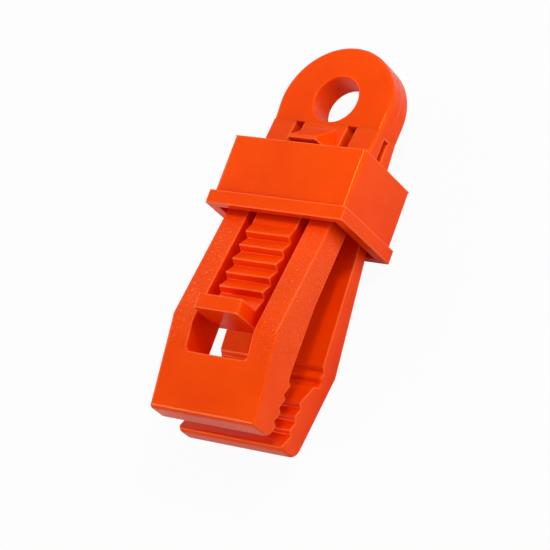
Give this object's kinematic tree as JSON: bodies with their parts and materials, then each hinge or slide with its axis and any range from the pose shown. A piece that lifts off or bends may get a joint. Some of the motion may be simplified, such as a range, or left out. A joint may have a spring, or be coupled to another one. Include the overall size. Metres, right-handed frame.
{
  "type": "tarp clip",
  "caption": "Plastic tarp clip: an eye plate, toothed jaw arms and a ratchet tongue with a release tab, closed by a sliding flanged collar.",
  "frame": {"origin": "centre of the eye, at the middle of the head's thickness", "axes": "+Y along the clip from the jaws to the eye, +Z out of the front face, where the release tab stands, +X across the clip"},
  "size_m": [0.0314, 0.08, 0.0268],
  "materials": {
    "body_plastic": "moulded, lightly glossy, with a fine grain on the arms",
    "collar_plastic": "moulded, smooth and glossy"
  },
  "bodies": {
    "eye_plate": {"eye_plate": "body_plastic"},
    "front_arm": {"front_rail_left": "body_plastic", "front_rail_right": "body_plastic", "front_jaw": "body_plastic", "front_jaw_teeth": "body_plastic"},
    "rear_arm": {"rear_arm": "body_plastic", "rear_jaw": "body_plastic", "rear_jaw_teeth": "body_plastic"},
    "tongue": {"ratchet_tongue": "body_plastic", "ratchet_teeth": "body_plastic", "release_tab": "body_plastic", "stop_wedge": "body_plastic"},
    "collar": {"collar_sleeve": "collar_plastic", "collar_flange": "collar_plastic"}
  },
  "joints": [
    {"name": "collar_slide", "type": "slide", "parent": "eye_plate", "child": "collar", "axis": [0, -1, 0], "range_m": [0, 0.0106]},
    {"name": "front_arm_flex", "type": "hinge", "parent": "eye_plate", "child": "front_arm", "pos_m": [0, -0.0067, 0.00208], "axis": [1, 0, 0], "range_deg": [0, 2.19], "stiffness_Nm_per_rad": 0.5},
    {"name": "rear_arm_flex", "type": "hinge", "parent": "eye_plate", "child": "rear_arm", "pos_m": [0, -0.0067, -0.00208], "axis": [-1, 0, 0], "range_deg": [0, 2.19], "stiffness_Nm_per_rad": 0.5},
    {"name": "tongue_flex", "type": "hinge", "parent": "eye_plate", "child": "tongue", "pos_m": [0, -0.0067, 0.00208], "axis": [1, 0, 0], "range_deg": [0, 4.99], "stiffness_Nm_per_rad": 0.2}
  ],
  "couplings": [
    {"joint": "front_arm_flex", "follows": "collar_slide", "rad_per_m": 3.6},
    {"joint": "rear_arm_flex", "follows": "collar_slide", "rad_per_m": 3.6},
    {"joint": "tongue_flex", "follows": "collar_slide", "rad_per_m": 8.2}
  ]
}
